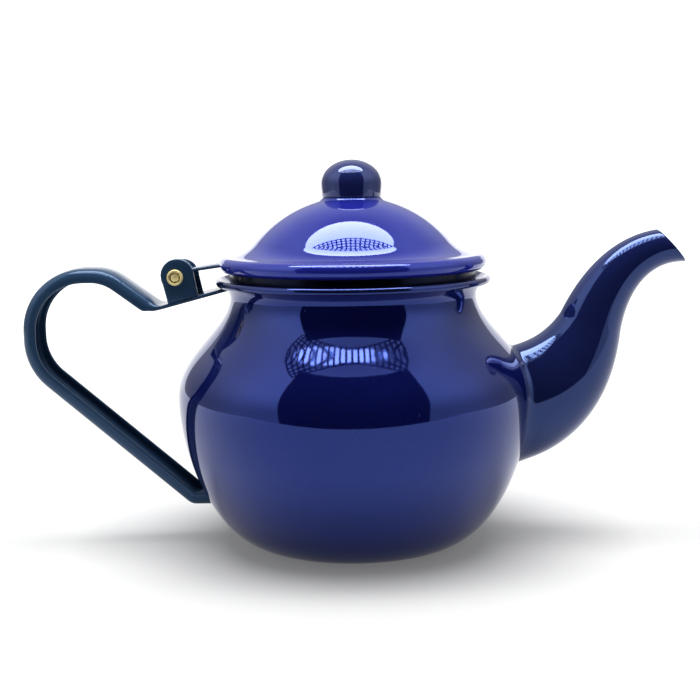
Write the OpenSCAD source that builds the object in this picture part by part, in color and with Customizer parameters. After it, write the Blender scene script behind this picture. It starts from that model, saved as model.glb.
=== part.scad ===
// Enamelled steel coffee pot with a hinged lid, a swan-neck spout, a channel-section handle
// and a lift-out percolator insert (pump tube, grounds basket and spreader plate).
// Millimetres, +Z up. Origin: centre of the flat base. +X: spout, -X: handle and hinge.

/* [Pot body] */
// Radius of the flat bottom
base_r = 34; // [30:0.5:38]
// Largest outside radius of the belly
belly_r = 61.2; // [60.5:0.1:62]
// Height of the widest point of the belly
belly_z = 50.5; // [49.5:0.5:51.5]
// Outside radius of the neck at its narrowest
neck_r = 42.6; // [42.4:0.1:43]
// Height of the narrowest point of the neck
neck_z = 86; // [85.6:0.1:86.4]
// Radius of the centre circle of the rolled rim
rim_r = 46.25; // [46:0.05:46.5]
// Height of the centre circle of the rolled rim
rim_z = 91; // [90.8:0.1:91.2]
// Radius of the rolled wire edge of the rim
rim_bead = 1.25; // [1:0.05:1.4]
// Thickness of the enamelled wall
wall = 1.1; // [0.9:0.1:1.3]

/* [Strainer] */
// Diameter of the strainer holes behind the spout
strain_d = 3.2; // [2:0.1:4]
// Distance between neighbouring strainer holes
strain_pitch = 5.6; // [5:0.1:6]

/* [Spout] */
// Wall thickness of the pressed spout halves
spout_wall = 1; // [0.8:0.1:1.2]
// Width of the spout at its root as a share of its height
spout_oval = 0.68; // [0.66:0.02:0.8]
// Radius of the weld fillet round the spout root
spout_fillet = 1.8; // [0:0.1:2.6]
// How far the pouring lip turns down
lip_drop = 0.3; // [0:0.1:2]

/* [Handle] */
// Width of the channel handle
handle_w = 17; // [15:0.5:19]
// Depth of the handle flanges, from the outer face
handle_depth = 4.4; // [3.5:0.1:5]
// Sheet thickness of the handle
handle_t = 1.3; // [1:0.1:1.5]

/* [Hinge] */
// Distance of the hinge pin from the pot axis
pin_x = 60.5; // [60.4:0.1:60.6]
// Height of the hinge pin
pin_z = 93.3; // [93.2:0.1:93.4]
// Radius of the tubular rivet
pin_r = 2.2; // [2:0.05:2.4]
// Radial running clearance of the leaf knuckle on the rivet
pin_fit = 0.05; // [0.02:0.01:0.1]
// Outside radius of the rivet heads
head_r = 2.75; // [2.6:0.05:3]
// Thickness of the hinge ears
ear_t = 1.4; // [1.2:0.1:1.4]

/* [Lid] */
// Sphere radius of the lid dome
dome_r = 44.3; // [44:0.1:44.6]
// Height of the centre of the dome's sphere
dome_cz = 75.4; // [75.2:0.1:75.7]
// Outside radius of the lid brim
brim_r = 46.1; // [45.8:0.1:46.3]
// Height of the top of the brim
brim_top = 99.7; // [99.4:0.1:99.9]
// How far below the level the roll of the brim turns in, in degrees
brim_turn = 75; // [60:1:80]
// Thickness of the enamelled lid
lid_t = 1; // [0.8:0.1:1.1]
// Lower edge of the collar that enters the neck
collar_low = 83; // [82:0.5:85]

/* [Knob] */
// Radius of the knob at its widest
knob_r = 10.5; // [10.2:0.1:11]
// Height of the knob's widest point, where its rounded top begins
knob_shoulder = 124; // [123:0.1:125]
// Height of the top of the knob
knob_top = 132.2; // [131:0.1:133]
// Height of the flat boss on the dome that carries the knob
boss_z = 119.25; // [119:0.05:119.5]
// Thickness of the knob shell
knob_t = 0.9; // [0.7:0.1:1]

/* [Percolator insert] */
// Radius of the pump tube
tube_r = 4; // [4:0.1:4]
// Wall of the pump tube
tube_wall = 0.7; // [0.5:0.05:0.8]
// Height of the top of the pump tube
tube_top = 108; // [100:1:109]
// Radius of the pump bell that stands on the bottom
bell_r = 25; // [20:0.5:27]
// Height of the pump bell
bell_h = 14; // [12:0.5:16]
// Outside radius of the grounds basket
basket_r = 31; // [28:0.5:31]
// Height of the underside of the grounds basket
basket_z = 49.6; // [49:0.1:50]
// Height of the upper edge of the grounds basket
basket_top = 83; // [80:0.5:83]
// Sheet thickness of the basket
basket_t = 0.8; // [0.6:0.1:0.8]
// Diameter of the holes in the basket floor
floor_hole_d = 2.2; // [1.6:0.1:2.4]
// Diameter of the holes in the spreader plate
spread_hole_d = 1.8; // [1.2:0.1:2.2]

/* [Hidden] */
$fn = 96;

// squareness of the belly curve below its widest point, and of the shoulder above it
belly_pow = 1.75;
shoulder_pow = 1.18;
// top and end radius of the flare that carries the rolled rim
flare_top = 90.5;
flare_r = 45.4;
// clearance between parts that lift off each other
gap = 0.3;
ear_in = handle_w / 2 - ear_t;

enamel_blue = [0.13, 0.21, 0.55];
enamel_lid = [0.20, 0.26, 0.72];
enamel_navy = [0.07, 0.10, 0.32];
enamel_dark = [0.05, 0.06, 0.16];
brass = [0.80, 0.66, 0.32];
aluminium = [0.78, 0.79, 0.80];

// ---------- plane geometry helpers ----------
function unit(v) = v / norm(v);
function turn_left(v) = [-v[1], v[0]];
function wrap180(a) = a > 180 ? a - 360 : (a < -180 ? a + 360 : a);

// points of an arc round c from angle a0 through da
function arc(c, r, a0, da, n) = [for (i = [0:n]) c + r * [cos(a0 + da * i / n), sin(a0 + da * i / n)]];

// round the corner b between a and c with radius r
function corner(a, b, c, r) =
    let (u = unit(a - b), w = unit(c - b), half = acos(u * w) / 2,
         s = b + u * r / tan(half), e = b + w * r / tan(half),
         m = b + unit(u + w) * r / sin(half),
         a0 = atan2(s[1] - m[1], s[0] - m[0]), a1 = atan2(e[1] - m[1], e[0] - m[0]),
         da = wrap180(a1 - a0))
    arc(m, r, a0, da, max(2, ceil(abs(da) / 6)));

// a path through corners [x, z, r]; its ends keep their sharp points
function rounded_path(p) = [
    for (i = [0:len(p) - 1]) each (
        i == 0 || i == len(p) - 1 ? [[p[i][0], p[i][1]]] :
        corner([p[i-1][0], p[i-1][1]], [p[i][0], p[i][1]], [p[i+1][0], p[i+1][1]], p[i][2]))];

// the same path moved sideways by d (to the left of its direction)
function side_step(p, d) = [
    for (i = [0:len(p) - 1])
        let (n0 = turn_left(unit(p[max(i, 1)] - p[max(i, 1) - 1])),
             n1 = turn_left(unit(p[min(i, len(p) - 2) + 1] - p[min(i, len(p) - 2)])),
             n = unit(n0 + n1))
        p[i] + n * d / (n * n0)];

function reversed(p) = [for (i = [len(p) - 1:-1:0]) p[i]];

// closed outline of a strip of thickness d along a path
function strip(p, d) = concat(p, reversed(side_step(p, d)));

// ---------- pot profile ----------
function belly_pt(t) = [base_r + (belly_r - base_r) * pow(sin(t), 2 / belly_pow),
                        belly_z * (1 - pow(cos(t), 2 / belly_pow))];
function shoulder_rad(s) = neck_r + (belly_r - neck_r) * (1 + cos(180 * pow(s, shoulder_pow))) / 2;
function flare_rad(u) = neck_r + (flare_r - neck_r) * pow(u, 1.8);

pot_outer = concat(
    [for (i = [0:20]) belly_pt(90 * i / 20)],
    [for (i = [1:20]) [shoulder_rad(i / 20), belly_z + (neck_z - belly_z) * i / 20]],
    [for (i = [1:5]) [flare_rad(i / 5), neck_z + (flare_top - neck_z) * i / 5]]);
pot_inner = side_step(pot_outer, wall);

// outside radius of the pot at height z
function pot_rad(z) =
    z < belly_z ?
        let (c = pow(1 - max(z, 0) / belly_z, belly_pow / 2))
        base_r + (belly_r - base_r) * pow(sqrt(1 - c * c), 2 / belly_pow)
    : z < neck_z ? shoulder_rad((z - belly_z) / (neck_z - belly_z))
    : flare_rad(min(1, (z - neck_z) / (flare_top - neck_z)));

// the solid that the pot's outer face encloses
module pot_envelope() {
    rotate_extrude() polygon(concat([[0, 0]], pot_outer, [[0, flare_top]]));
}

module strainer_hole(y, z) {
    translate([40, y, z]) rotate([0, 90, 0]) cylinder(d = strain_d, h = 30);
}

module pot_shell() {
    color(enamel_blue) difference() {
        union() {
            rotate_extrude() polygon(concat([[0, 0]], pot_outer, reversed(pot_inner), [[0, wall]]));
            rotate_extrude() translate([rim_r, rim_z]) circle(r = rim_bead, $fn = 48);
        }
        for (row = [-2:2]) {
            for (i = [0:4 - abs(row)]) {
                strainer_hole((i - (4 - abs(row)) / 2) * strain_pitch * 0.8,
                              46 + row * strain_pitch);
            }
        }
    }
}

// ---------- spout ----------
// centre line: a curve out of the belly, then one over into the mouth, each from four points
root_curve = [[48, 44.5], [64.8, 47.25], [76.65, 57.4], [82.45, 74.65]];
mouth_curve = [[82.45, 74.65], [86.2, 85.8], [94.35, 100.1], [111.3, 101.2]];
// half height of the spout along the same two curves
root_size = [19.7, 21.9, 15.5, 11];
mouth_size = [11, 9.1, 7.3, 5.7];
// centre of the mouth and the direction in which its slanted cut faces
mouth_at = [109.9, 100.9];
mouth_tilt = 41.6;

function bez(p, t) = p[0] * pow(1 - t, 3) + p[1] * 3 * t * pow(1 - t, 2)
                   + p[2] * 3 * t * t * (1 - t) + p[3] * pow(t, 3);
function bez_dir(p, t) = unit((p[1] - p[0]) * pow(1 - t, 2) + (p[2] - p[1]) * 2 * t * (1 - t)
                       + (p[3] - p[2]) * t * t);
function spout_mid(t) = t < 1 ? bez(root_curve, t) : bez(mouth_curve, t - 1);
function spout_dir(t) = t < 1 ? bez_dir(root_curve, t) : bez_dir(mouth_curve, t - 1);
function spout_half_h(t) = t < 1 ? bez(root_size, t) : bez(mouth_size, t - 1);
function spout_ratio(t) = spout_oval + (1 - spout_oval) * pow(min(t, 2) / 2, 0.8);

// a point of the skin at t along the spout and angle a from its top, pushed out by e
function skin(t, a, e, side) =
    let (c = spout_mid(t), n = turn_left(spout_dir(t)), h = spout_half_h(t))
    let (q = c + n * (h + e) * cos(a))
    [q[0], side * (h * spout_ratio(t) + e) * sin(a), q[1]];

// how far a point lies outside the pot, and beyond the cut of the mouth
// the root rests on the pot by the middles of its short straight edges, hence the small lift
root_lift = 0.05;
function outside_pot(p) = norm([p[0], p[1]]) - pot_rad(p[2]) - root_lift;
function past_mouth(p) = (p[0] - mouth_at[0]) * cos(mouth_tilt) + (p[2] - mouth_at[1]) * sin(mouth_tilt);
function root_t(a, e, side, lo, hi, n) =
    n == 0 ? hi :
    let (m = (lo + hi) / 2)
    outside_pot(skin(m, a, e, side)) > 0 ? root_t(a, e, side, lo, m, n - 1)
                                         : root_t(a, e, side, m, hi, n - 1);
function mouth_t(a, e, side, lo, hi, n) =
    n == 0 ? lo :
    let (m = (lo + hi) / 2)
    past_mouth(skin(m, a, e, side)) > 0 ? mouth_t(a, e, side, lo, m, n - 1)
                                        : mouth_t(a, e, side, m, hi, n - 1);

// stations along the spout, closer together in the weld fillet and at the lip
spout_rings = 40;
function station(k) = k < 4 ? 0.013 * k : 0.039 + 0.961 * (k - 3) / (spout_rings - 3);
function fillet_out(k) = k > 3 ? 0 : spout_fillet * pow(1 - k / 3, 2);
function lip_out(k, a) = lip_drop * pow(max(0, (station(k) - 0.88) / 0.12), 2) * (1 - cos(a)) / 2;

function skin_line(a, e, side, fil) =
    let (t0 = root_t(a, e + fil * fillet_out(0), side, 0, 1.4, 22),
         t1 = mouth_t(a, e + lip_out(spout_rings, a), side, 1.5, 2.3, 22))
    [for (k = [0:spout_rings])
        skin(t0 + (t1 - t0) * station(k), a, e + fil * fillet_out(k) + lip_out(k, a), side)];

// one pressed half: outer skin, inner skin and the edges between them
module spout_half(side) {
    m = 20;
    rows = concat([for (j = [0:m]) skin_line(180 * j / m, 0, side, 1)],
                  [for (j = [m:-1:0]) skin_line(180 * j / m, -spout_wall, side, 0)]);
    w = len(rows);
    pts = [for (k = [0:spout_rings]) each [for (j = [0:w - 1]) rows[j][k]]];
    walls = [for (k = [0:spout_rings - 1]) for (j = [0:w - 1])
        let (a = k * w + j, b = k * w + (j + 1) % w, c = b + w, d = a + w) each
        (side < 0 ? [[a, b, d], [b, c, d]] : [[b, a, d], [c, b, d]])];
    caps = [for (j = [0:m - 1]) let (a = j, b = j + 1, c = w - 2 - j, d = w - 1 - j,
                                     o = spout_rings * w) each
        (side < 0 ? [[d, c, a], [c, b, a], [a + o, b + o, d + o], [b + o, c + o, d + o]]
                  : [[a, c, d], [a, b, c], [d + o, b + o, a + o], [d + o, c + o, b + o]])];
    color(enamel_blue) polyhedron(points = pts, faces = concat(walls, caps), convexity = 8);
}

module spout_half_near() { spout_half(-1); }
module spout_half_far() { spout_half(1); }

// ---------- handle ----------
// outer face of the handle: from the neck down to the hinge, over the arch, down to the foot
handle_path = rounded_path([[-41, 90.15, 0], [-67, 83.4, 3], [-84.1, 96.1, 17], [-113.3, 96.1, 21],
                            [-113.3, 62.5, 21], [-57.5, 13.9, 4.5], [-46, 13.9, 0]]);
// the flanges deepen quickly just past the hinge bend and run from there to the foot
flange_path = concat([[-68.4, 84.44]], rounded_path([[-73, 87.86, 0], [-84.1, 96.1, 17],
    [-113.3, 96.1, 21], [-113.3, 62.5, 21], [-57.5, 13.9, 4.5], [-46, 13.9, 0]]));
function without_last(p) = [for (i = [0:len(p) - 2]) p[i]];

// stand a side-view outline up between y0 and y1
module upright(y0, y1) {
    translate([0, y1, 0]) rotate([90, 0, 0]) linear_extrude(y1 - y0) children();
}

module handle_strap() {
    color(enamel_blue) difference() {
        union() {
            upright(-handle_w / 2, handle_w / 2) polygon(strip(handle_path, handle_t));
            for (s = [0, 1]) mirror([0, s, 0]) {
                upright(handle_w / 2 - handle_t, handle_w / 2)
                    polygon(concat(flange_path,
                                   without_last(reversed(side_step(flange_path, handle_depth)))));
            }
        }
        pot_envelope();
    }
}

// ---------- hinge ----------
// D-shaped ear round the pin, reaching down to the strap
ear_mid = [-59.8, 93.9];
ear_r = 5.7;

module ear_outline() {
    difference() {
        union() {
            translate(ear_mid) circle(r = ear_r, $fn = 64);
            polygon([[-65.5, 93.9], [-63.2, 84.39], [-52.8, 87.09], [-54.1, 93.9]]);
        }
        translate([-pin_x, pin_z]) circle(r = pin_r, $fn = 48);
    }
}

module hinge_bracket() {
    color(enamel_blue) {
        upright(-handle_w / 2, -ear_in) ear_outline();
        upright(ear_in, handle_w / 2) ear_outline();
        upright(-ear_in, ear_in) polygon([[-63.5, 86.75], [-54.1, 86.75], [-53.4, 88.05], [-63.4, 88.05]]);
    }
}

// half profile of the rivet, from its middle to the end of one head
rivet_half = [[0, 0], [pin_r, 0], [pin_r, 8.5], [head_r, 8.5], [head_r, 9.1], [head_r - 0.3, 9.5],
              [head_r - 0.8, 9.5], [head_r - 1.1, 9.1], [1.25, 9.1], [0.95, 9.4], [0, 9.4]];

module hinge_rivet() {
    color(brass) translate([-pin_x, 0, pin_z]) for (s = [90, -90])
        rotate([s, 0, 0]) rotate_extrude() polygon(rivet_half);
}

// strip from the brim, falling a little, then up on to the hood over the rivet
leaf_t = 1.1;
hood_r = 5.3;
leaf_path = rounded_path([[-43.5, 97.62, 0], [-55.88, 95.96, 0.8], [-56.21, 96.42, 0]]);

// sector of a flat ring round the pin
module pin_sector(r0, r1, a0, a1) {
    polygon(concat(arc([-pin_x, pin_z], r1, a0, a1 - a0, 24), reversed(arc([-pin_x, pin_z], r0, a0, a1 - a0, 24))));
}

module hinge_leaf() {
    color(enamel_navy) difference() {
        union() {
            upright(-6, 6) polygon(strip(leaf_path, leaf_t));
            upright(-6.8, 6.8) pin_sector(hood_r - leaf_t, hood_r, 22, 134);
            upright(-6.8, 6.8) pin_sector(hood_r - leaf_t, 5.8, 126, 134);
            for (s = [0, 1]) mirror([0, s, 0])
                upright(6.8 - leaf_t, 6.8) translate([-pin_x, pin_z]) circle(r = hood_r - 0.15, $fn = 64);
        }
        translate([-pin_x, 0, pin_z]) rotate([90, 0, 0])
            cylinder(r = pin_r + pin_fit, h = 30, center = true, $fn = 64);
        cylinder(r = roll_at[0], h = 120);
        rotate_extrude() translate(roll_at) circle(r = roll_r, $fn = 96);
    }
}

// ---------- lid ----------
// the brim is rolled over round this point, with this radius
roll_r = 2.6;
roll_at = [brim_r - roll_r, brim_top - roll_r];
// a hollow of this radius leads from the dome into the roll
hollow_r = 12;
// the point of the dome's outer face at angle a from the axis
function dome_pt(a) = [dome_r * sin(a), dome_cz + dome_r * cos(a)];
// where two circles round a and b cross, left of the line from a to b
function crossing(a, ra, b, rb) =
    let (d = norm(b - a), x = (ra * ra - rb * rb + d * d) / (2 * d), u = unit(b - a))
    a + u * x + turn_left(u) * sqrt(ra * ra - x * x);
hollow_at = crossing([0, dome_cz], dome_r + hollow_r, roll_at, roll_r + hollow_r);
dome_edge = atan2(hollow_at[0], hollow_at[1] - dome_cz);
to_roll = atan2(roll_at[1] - hollow_at[1], roll_at[0] - hollow_at[0]) + 360;
lid_outer = concat(
    [[0, boss_z], [10.2, boss_z]],
    corner([10.2, boss_z], [10.7, 118.5], dome_pt(18), 2.4),
    [for (i = [0:18]) dome_pt(18 + (dome_edge - 18) * i / 18)],
    [for (i = [1:10]) let (a = 270 - dome_edge + (to_roll - 270 + dome_edge) * i / 10)
        hollow_at + hollow_r * [cos(a), sin(a)]],
    [for (i = [1:14]) let (a = to_roll - 180 - (to_roll - 180 + brim_turn) * i / 14)
        roll_at + roll_r * [cos(a), sin(a)]]);
lid_inner = side_step(lid_outer, -lid_t);

module lid_shell() {
    color(enamel_lid) rotate_extrude() polygon(concat(lid_outer, reversed(lid_inner)));
}

module lid_collar() {
    collar = [[42.4, 98.3], [42.4, 89.5], [41, 87.4], [40.7, collar_low]];
    color(enamel_dark) rotate_extrude() polygon(strip(reversed(collar), 0.9));
}

// side of the knob: it swells from its seat to its widest point, then closes in a low dome
seat_r = 10.1;
function knob_side(d) = concat(
    [for (i = [0:8]) [seat_r - d + (knob_r - seat_r) * sin(90 * i / 8),
                      boss_z + (knob_shoulder - boss_z) * i / 8]],
    [for (i = [1:16]) [(knob_r - d) * cos(90 * i / 16),
                       knob_shoulder + (knob_top - d - knob_shoulder) * sin(90 * i / 16)]]);

module lid_knob() {
    color(enamel_navy) rotate_extrude() polygon(concat(knob_side(0), reversed(knob_side(knob_t))));
}

// ---------- percolator insert ----------
module pump_tube() {
    color(aluminium) difference() {
        translate([0, 0, 8]) cylinder(r = tube_r, h = tube_top - 8);
        translate([0, 0, 7]) cylinder(r = tube_r - tube_wall, h = tube_top);
    }
}

// flared bell with a flat foot ring and four inlet ports
bell_path = rounded_path([[bell_r, wall + gap, 0], [bell_r, wall + gap + 2.4, 1.6],
                          [14, bell_h - 4, 9], [tube_r + 0.8, bell_h - 1, 3],
                          [tube_r + 0.8, bell_h + 6, 0]]);

module pump_bell() {
    color(aluminium) difference() {
        union() {
            rotate_extrude() polygon(strip(bell_path, 0.8));
            rotate_extrude() translate([bell_r - 3, wall + gap]) square([3, 0.8]);
        }
        for (a = [0:60:300]) rotate([0, 0, a])
            translate([14.5, 0, 0]) cylinder(d = 4, h = 30);
    }
}

module tube_stop_ring() {
    color(aluminium) difference() {
        translate([0, 0, basket_z - 0.8 - gap - 3]) cylinder(r = 6.6, h = 3);
        cylinder(r = tube_r, h = 100);
    }
}

module ring_of_holes(r, n, d, z, h) {
    for (i = [0:n - 1]) rotate([0, 0, 360 * i / n]) translate([r, 0, z]) cylinder(d = d, h = h);
}

module basket_cup() {
    color(aluminium) difference() {
        union() {
            difference() {
                translate([0, 0, basket_z]) cylinder(r = basket_r, h = basket_top - basket_z);
                translate([0, 0, basket_z + basket_t])
                    cylinder(r = basket_r - basket_t, h = 60);
            }
            rotate_extrude() translate([basket_r, basket_top]) circle(r = 0.9, $fn = 32);
        }
        translate([0, 0, 40]) cylinder(r = tube_r + gap + 0.9, h = 60);
        for (q = [1:4]) ring_of_holes(5.5 + 5.2 * q, 6 * q + 4, floor_hole_d, 40, 15);
        for (i = [0:19]) rotate([0, 0, 18 * i])
            translate([basket_r - 3, -0.8, basket_z + 4]) cube([6, 1.6, 9]);
    }
}

module basket_guide_tube() {
    color(aluminium) difference() {
        translate([0, 0, basket_z - 0.8]) cylinder(r = tube_r + gap + 0.9, h = basket_top - basket_z + 1.2);
        cylinder(r = tube_r + gap, h = 100);
    }
}

module basket_spreader() {
    z0 = basket_top + 0.9 + gap;
    color(aluminium) difference() {
        union() {
            translate([0, 0, z0]) cylinder(r = basket_r + 1.6, h = 0.7);
            difference() {
                translate([0, 0, z0 - 4.5]) cylinder(r = basket_r - basket_t - 0.4, h = 4.5);
                translate([0, 0, z0 - 5]) cylinder(r = basket_r - basket_t - 1.1, h = 10);
            }
            translate([0, 0, z0]) cylinder(r = 7.2, h = 3.6);
        }
        cylinder(r = 6.3, h = 110);
        for (q = [1:4]) ring_of_holes(4.8 + 4.9 * q, 7 * q + 5, spread_hole_d, z0 - 1, 3);
    }
}

pot_shell();
spout_half_near();
spout_half_far();
handle_strap();
hinge_bracket();
hinge_rivet();
lid_shell();
lid_collar();
lid_knob();
hinge_leaf();
pump_tube();
pump_bell();
tube_stop_ring();
basket_cup();
basket_guide_tube();
basket_spreader();
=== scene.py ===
import math

import bmesh
import bpy
import numpy as np
from mathutils import Matrix, Vector


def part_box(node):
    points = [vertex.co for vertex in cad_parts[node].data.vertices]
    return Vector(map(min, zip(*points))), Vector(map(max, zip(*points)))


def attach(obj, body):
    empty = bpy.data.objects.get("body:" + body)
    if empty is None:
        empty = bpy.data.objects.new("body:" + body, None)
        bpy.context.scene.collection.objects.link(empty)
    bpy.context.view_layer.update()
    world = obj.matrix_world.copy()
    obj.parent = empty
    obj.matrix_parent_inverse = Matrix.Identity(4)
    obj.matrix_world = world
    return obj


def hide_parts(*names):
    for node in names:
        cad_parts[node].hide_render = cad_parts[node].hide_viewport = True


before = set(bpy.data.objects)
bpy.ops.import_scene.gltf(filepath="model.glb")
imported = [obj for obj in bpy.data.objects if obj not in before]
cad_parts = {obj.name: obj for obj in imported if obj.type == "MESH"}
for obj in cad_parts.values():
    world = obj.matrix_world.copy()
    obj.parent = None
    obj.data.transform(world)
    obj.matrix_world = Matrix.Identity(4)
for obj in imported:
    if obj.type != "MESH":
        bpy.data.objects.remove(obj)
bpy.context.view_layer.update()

# ------------------------------------------------------------------ sizes, in millimetres
# Everything that the CAD boxes give is read from them; the rest are the shape's own constants.


def box(node):
    lo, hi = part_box(node)
    return np.array(lo) * 1000, np.array(hi) * 1000


shell_hi = box("pot_shell")[1]
lid_hi = box("lid_shell")[1]
knob_lo, knob_hi = box("lid_knob")
collar_lo = box("lid_collar")[0]
handle_lo, handle_hi = box("handle_strap")
rivet_lo, rivet_hi = box("hinge_rivet")

WALL = 1.1
BASE_R = 34.0
BELLY_R = float(shell_hi[0])
BELLY_Z = 50.5
BELLY_POW = 1.75
SHOULDER_POW = 1.18
NECK_R = 42.6
NECK_Z = 86.0
FLARE_TOP = 90.5
FLARE_R = 45.4
BEAD = 1.25
RIM_R = 46.25
RIM_Z = float(shell_hi[2]) - BEAD

LID_T = 1.0
DOME_R = 44.3
DOME_CZ = 75.4
BRIM_R = float(lid_hi[0])
BRIM_TOP = 99.7
ROLL_R = 2.6
HOLLOW_R = 12.0
BOSS_Z = float(knob_lo[2])
KNOB_TOP = float(knob_hi[2])
KNOB_R = float(knob_hi[0])
KNOB_MID = 124.0
KNOB_T = 0.9
SEAT_R = 10.1

HANDLE_W = float(handle_hi[1] - handle_lo[1])
HANDLE_DEPTH = 4.4
HANDLE_T = 1.3
ARCH_LEFT = float(handle_lo[0])
FOOT_Z = float(handle_lo[2])

PIN = (rivet_lo + rivet_hi) / 2
PIN_X, PIN_Z = float(PIN[0]), float(PIN[2])
HEAD_R = float(rivet_hi[0] - PIN_X)
RIVET_END = float(rivet_hi[1])
EAR_T = 1.4
LEAF_T = 1.1
HOOD_R = 5.3

# ------------------------------------------------------------------ plane geometry


def pt(x, z):
    return np.array([x, z], float)


def unit(v):
    """The direction of v, at length 1."""
    return v / np.linalg.norm(v)


def left_of(v):
    """v turned a quarter to the left."""
    return np.array([-v[1], v[0]])


def arc(c, r, a0, a1, step=3.0):
    """Points on a circle round c, from angle a0 to a1 in degrees."""
    n = max(3, int(abs(a1 - a0) / step) + 1)
    t = np.radians(np.linspace(a0, a1, n + 1))
    return [pt(c[0] + r * math.cos(a), c[1] + r * math.sin(a)) for a in t]


def corner(a, b, c, r, step=3.0):
    """The corner at b, between a and c, rounded to radius r."""
    u, w = unit(a - b), unit(c - b)
    half = math.acos(float(u @ w)) / 2
    m = b + unit(u + w) * r / math.sin(half)
    s, e = b + u * r / math.tan(half), b + w * r / math.tan(half)
    a0 = math.degrees(math.atan2(s[1] - m[1], s[0] - m[0]))
    a1 = math.degrees(math.atan2(e[1] - m[1], e[0] - m[0]))
    a1 = a0 + (a1 - a0 + 180) % 360 - 180
    return arc(m, r, a0, a1, step)


def rounded(corners, step=3.0):
    """A path through [x, z, radius] corners."""
    p = [pt(c[0], c[1]) for c in corners]
    out = [p[0]]
    for i in range(1, len(p) - 1):
        out += corner(p[i - 1], p[i], p[i + 1], corners[i][2], step)
    return out + [p[-1]]


def spaced(path, gap=1.2):
    """The same path with no two neighbours further apart than gap, and none doubled."""
    out = [path[0]]
    for q in path[1:]:
        d = np.linalg.norm(q - out[-1])
        if d < 1e-5:
            continue
        n = max(1, math.ceil(d / gap))
        a = out[-1]
        out += [a + (q - a) * (k + 1) / n for k in range(n)]
    return out


def tangents(path):
    p = np.array(path)
    t = np.gradient(p, axis=0)
    return t / np.linalg.norm(t, axis=1)[:, None]


def stepped(path, d):
    """The path moved d to its left."""
    t = tangents(path)
    return [q + left_of(k) * d for q, k in zip(path, t)]


def sheet(path, t, cap_start=True, cap_end=True):
    """Closed outline of a sheet of thickness t on the left of a path, with rounded free edges.
    Also says how near each point is to a free edge, from 1 at the edge to 0 at 3 mm from it."""
    a, b = list(path), stepped(path, t)
    run = np.concatenate([[0], np.cumsum(np.linalg.norm(np.diff(np.array(a), axis=0), axis=1))])
    near = np.ones(len(a)) * 99.0
    if cap_start:
        near = np.minimum(near, run)
    if cap_end:
        near = np.minimum(near, run[-1] - run)
    edge = np.clip(1 - near / 3.0, 0, 1)
    out, val = list(a), list(edge)

    def cap(p, q, away):
        m, r = (p + q) / 2, np.linalg.norm(q - p) / 2
        u = (p - m) / r
        pts = []
        for k in range(1, 8):
            g = math.pi * k / 8
            pts.append(m + u * r * math.cos(g) + away * r * math.sin(g))
        return pts

    tang = tangents(path)
    if cap_end:
        extra = cap(a[-1], b[-1], tang[-1])
        out += extra
        val += [1.0] * len(extra)
    out += b[::-1]
    val += list(edge[::-1])
    if cap_start:
        extra = cap(b[0], a[0], -tang[0])
        out += extra
        val += [1.0] * len(extra)
    return out, val


# ------------------------------------------------------------------ meshes


def finish_mesh(me, sharp=35):
    bm = bmesh.new()
    bm.from_mesh(me)
    bmesh.ops.remove_doubles(bm, verts=bm.verts, dist=1e-7)
    bmesh.ops.recalc_face_normals(bm, faces=bm.faces)
    bm.to_mesh(me)
    bm.free()
    for p in me.polygons:
        p.use_smooth = True
    me.set_sharp_from_angle(angle=math.radians(sharp))


def grid(name, rows, wrap_u=False, wrap_v=True, cap_u=False, edge=None, sharp=35):
    """rows is (K, M, 3) in millimetres: K stations of M points. wrap_v closes each station."""
    rows = np.asarray(rows, float)
    k, m = rows.shape[:2]
    verts = (rows.reshape(-1, 3) / 1000).tolist()
    faces = []
    for i in range(k if wrap_u else k - 1):
        i2 = (i + 1) % k
        for j in range(m if wrap_v else m - 1):
            j2 = (j + 1) % m
            faces.append((i * m + j, i * m + j2, i2 * m + j2, i2 * m + j))
    if cap_u:
        faces.append(tuple(range(m)))
        faces.append(tuple(range((k - 1) * m, k * m))[::-1])
    me = bpy.data.meshes.new(name)
    me.from_pydata(verts, [], faces)
    if edge is not None:
        at = me.attributes.new("edge", "FLOAT", "POINT")
        at.data.foreach_set("value", np.asarray(edge, np.float32).reshape(-1))
    finish_mesh(me, sharp)
    ob = bpy.data.objects.new(name, me)
    bpy.context.scene.collection.objects.link(ob)
    return ob


def lathe(name, outline, seg=224, edge=None, closed=True, sharp=35):
    """An outline of [radius, height] points turned round the Z axis."""
    p = np.array(outline)
    p[:, 0] = np.maximum(p[:, 0], 0)
    ang = 2 * np.pi * np.arange(seg) / seg
    rows = np.zeros((seg, len(p), 3))
    rows[:, :, 0] = np.cos(ang)[:, None] * p[:, 0]
    rows[:, :, 1] = np.sin(ang)[:, None] * p[:, 0]
    rows[:, :, 2] = p[:, 1]
    e = None if edge is None else np.tile(np.asarray(edge), (seg, 1))
    return grid(name, rows, wrap_u=True, wrap_v=closed, edge=e, sharp=sharp)


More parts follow.
